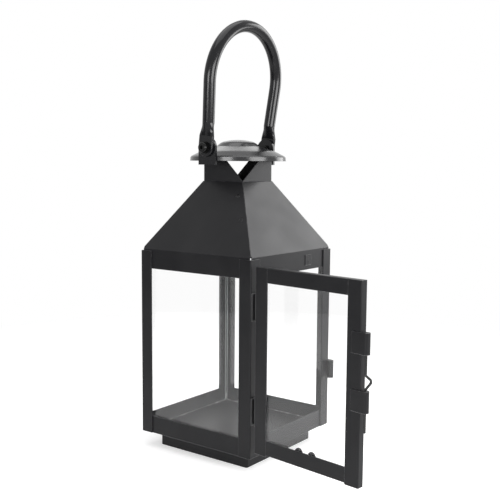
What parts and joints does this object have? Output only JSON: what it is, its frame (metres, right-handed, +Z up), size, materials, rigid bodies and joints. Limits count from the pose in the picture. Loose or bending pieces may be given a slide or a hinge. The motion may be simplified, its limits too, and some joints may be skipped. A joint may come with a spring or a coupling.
{
  "type": "candle lantern",
  "caption": "Square black metal candle lantern with glass sides, a hinged glass door with a drop-pin latch, a pyramid roof, a vented neck with a round cap, and a swinging hoop handle.",
  "frame": {"origin": "middle of the plinth's underside, where the lantern stands", "axes": "+Z up; the door side faces -Y, and the handle's two bolts lie along X"},
  "size_m": [0.1694, 0.2977, 0.4721],
  "materials": {
    "body_paint": "satin black powder coat on folded steel sheet",
    "cap_paint": "smooth satin black paint on a spun steel cap",
    "handle_paint": "semi-gloss black paint",
    "fastener_finish": "glossy black bolts, washers and nuts",
    "hardware_paint": "satin black powder coat on hinges and latch barrels",
    "wire_finish": "black coated steel wire",
    "clear_glass": "clear float glass"
  },
  "bodies": {
    "lantern_body": {"base_plinth": "body_paint", "base_tray": "body_paint", "post_hinge_side": "body_paint", "post_latch_side": "body_paint", "post_rear_left": "body_paint", "post_rear_right": "body_paint", "roof_panel_front": "body_paint", "roof_panel_left": "body_paint", "roof_panel_right": "body_paint", "roof_panel_rear": "body_paint", "neck_left": "body_paint", "neck_right": "body_paint", "header_tab": "body_paint", "cap": "cap_paint", "handle_bridge": "handle_paint", "handle_bolts": "fastener_finish", "handle_washers": "fastener_finish", "handle_nuts": "fastener_finish", "hinge_post_leaves": "hardware_paint", "hinge_pins": "hardware_paint", "latch_keeper": "hardware_paint", "glass_left": "clear_glass", "glass_right": "clear_glass", "glass_rear": "clear_glass"},
    "door": {"hinge_door_leaves": "hardware_paint", "door_stile_hinge": "body_paint", "door_stile_latch": "body_paint", "door_rail_top": "body_paint", "door_rail_bottom": "body_paint", "door_glass": "clear_glass", "door_glass_clip": "body_paint", "latch_barrel_upper": "hardware_paint", "latch_barrel_lower": "hardware_paint"},
    "latch_pin": {"latch_pin": "wire_finish"},
    "handle": {"handle": "handle_paint"}
  },
  "joints": [
    {"name": "door_hinge", "type": "hinge", "parent": "lantern_body", "child": "door", "pos_m": [-0.0682, -0.0784, 0.1205], "axis": [0, 0, 1], "range_deg": [-26, 97.3]},
    {"name": "latch_slide", "type": "slide", "parent": "door", "child": "latch_pin", "axis": [0, 0, 1], "range_m": [0, 0.017]},
    {"name": "handle_swing", "type": "hinge", "parent": "lantern_body", "child": "handle", "pos_m": [0, 0, 0.3345], "axis": [1, 0, 0], "range_deg": [-102.6, 90]}
  ]
}
